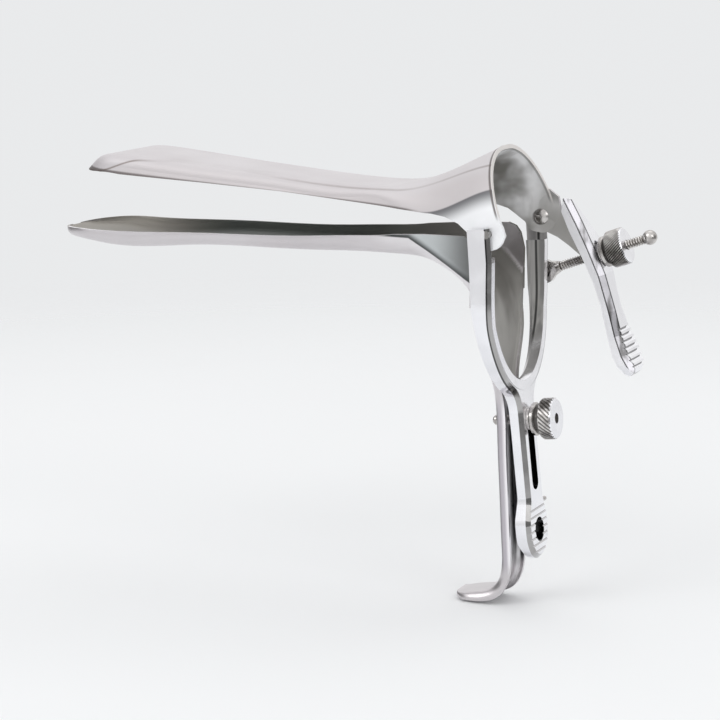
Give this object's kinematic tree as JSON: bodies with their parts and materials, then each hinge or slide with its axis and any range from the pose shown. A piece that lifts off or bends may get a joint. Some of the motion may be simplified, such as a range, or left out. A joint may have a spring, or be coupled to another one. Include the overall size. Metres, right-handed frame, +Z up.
{
  "type": "bivalve speculum",
  "caption": "Steel bivalve speculum: duck-bill blades, a forked yoke that slides on the handle, a thumb lever with a threaded opening stop, and a knurled clamp nut.",
  "frame": {"origin": "centre of the hole in the yoke's thumb pad, on the symmetry plane", "axes": "+Z up with the handle hanging down, -X along the blades towards their tips, +Y the side of the thumb lever"},
  "size_m": [0.1752, 0.0568, 0.1308],
  "materials": {
    "blade_steel": "satin polished sheet, bright edges",
    "forged_steel": "mirror polished forging",
    "turned_steel": "bright turned steel",
    "knurled_steel": "turned steel with a diagonal knurl"
  },
  "bodies": {
    "lower": {"lower_blade": "blade_steel", "clamp_stud": "turned_steel"},
    "yoke": {"yoke": "forged_steel", "hinge_rivet_left": "turned_steel", "hinge_rivet_right": "turned_steel", "eye_rivet": "turned_steel", "guide_pin": "turned_steel"},
    "upper": {"upper_blade": "blade_steel", "thumb_lever": "forged_steel"},
    "rod": {"adjuster_rod": "turned_steel", "rod_ball": "turned_steel"},
    "rod_washer": {"adjuster_washer": "turned_steel"},
    "rod_nut": {"adjuster_nut": "knurled_steel"},
    "clamp_ring": {"clamp_washer": "turned_steel"},
    "clamp_knob": {"clamp_nut": "knurled_steel"}
  },
  "joints": [
    {"name": "yoke_slide", "type": "slide", "parent": "lower", "child": "yoke", "axis": [-0.1097, 0, 0.994], "range_m": [0, 0.0165]},
    {"name": "blade_hinge", "type": "hinge", "parent": "yoke", "child": "upper", "pos_m": [-0.00647, 0, 0.08682], "axis": [0, 1, 0], "range_deg": [-7.5, 20]},
    {"name": "rod_pivot", "type": "hinge", "parent": "yoke", "child": "rod", "pos_m": [-0.00737, 0.0249, 0.07006], "axis": [0, 1, 0], "range_deg": [-4.7, 12.5]},
    {"name": "adjuster_travel", "type": "slide", "parent": "rod", "child": "rod_washer", "axis": [0.9385, 0, 0.3453], "range_m": [-0.0056, 0.0021]},
    {"name": "adjuster_spin", "type": "hinge", "parent": "rod_washer", "child": "rod_nut", "pos_m": [0.01398, 0.0249, 0.07791], "axis": [0.9385, 0, 0.3453], "range_deg": [-2500, 940]},
    {"name": "clamp_spin", "type": "hinge", "parent": "clamp_ring", "child": "clamp_knob", "pos_m": [-0.0004, 0, 0.03185], "axis": [0.994, 0, 0.1097], "range_deg": [0, 360]},
    {"name": "clamp_travel", "type": "slide", "parent": "lower", "child": "clamp_ring", "axis": [0.994, 0, 0.1097], "range_m": [0, 0.0008]}
  ],
  "couplings": [
    {"joint": "rod_pivot", "follows": "blade_hinge", "ratio": 0.62},
    {"joint": "adjuster_travel", "follows": "blade_hinge", "m_per_rad": -0.015871},
    {"joint": "adjuster_spin", "follows": "blade_hinge", "ratio": -124.65},
    {"joint": "clamp_spin", "follows": "clamp_travel", "rad_per_m": 7854}
  ]
}
